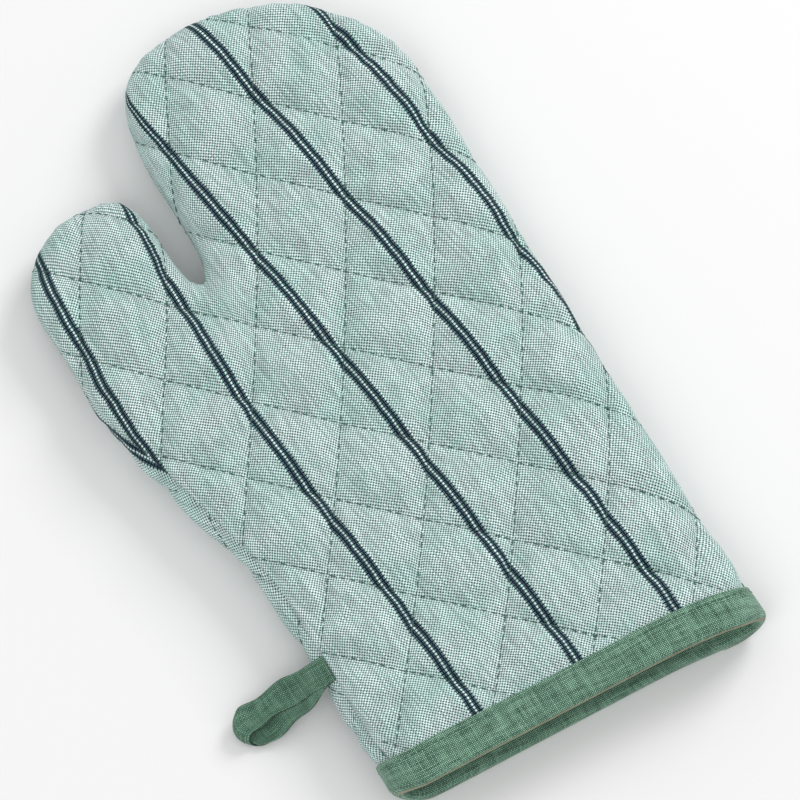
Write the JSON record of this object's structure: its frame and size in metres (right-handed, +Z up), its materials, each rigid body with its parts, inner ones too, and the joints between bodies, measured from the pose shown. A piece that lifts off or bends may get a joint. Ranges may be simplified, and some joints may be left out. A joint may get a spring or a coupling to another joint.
{
  "type": "oven mitt",
  "caption": "Quilted cotton oven mitt lying on its palm, with a thumb, a bound open cuff and a tape hanging loop in the side seam.",
  "frame": {"origin": "middle of the underside of the whole part, on the surface that it lies on", "axes": "+Y from the cuff to the fingertips, thumb and hanging loop on the -X side, +Z up through the back of the hand"},
  "size_m": [0.1998, 0.32, 0.027],
  "materials": {
    "cover_cloth": "plain-weave yarn-dyed cotton, sage and white, with navy stripes",
    "lining_cloth": "plain unbleached cotton",
    "cotton_wadding": "soft matted cotton",
    "green_tape": "mid green plain-weave cotton tape",
    "sage_thread": "matt sewing thread",
    "green_thread": "matt sewing thread"
  },
  "bodies": {
    "mitt": {"front_cover": "cover_cloth", "back_cover": "cover_cloth", "front_wadding": "cotton_wadding", "back_wadding": "cotton_wadding", "front_lining": "lining_cloth", "back_lining": "lining_cloth", "side_seam_thread": "sage_thread", "cuff_binding": "green_tape", "cuff_binding_thread": "green_thread"},
    "loop": {"hanging_loop": "green_tape", "loop_thread": "green_thread"}
  },
  "joints": [
    {"name": "loop_hinge", "type": "hinge", "parent": "mitt", "child": "loop", "pos_m": [-0.06237, -0.09999, 0.012], "axis": [0, 1, 0], "range_deg": [-80, 95]}
  ]
}
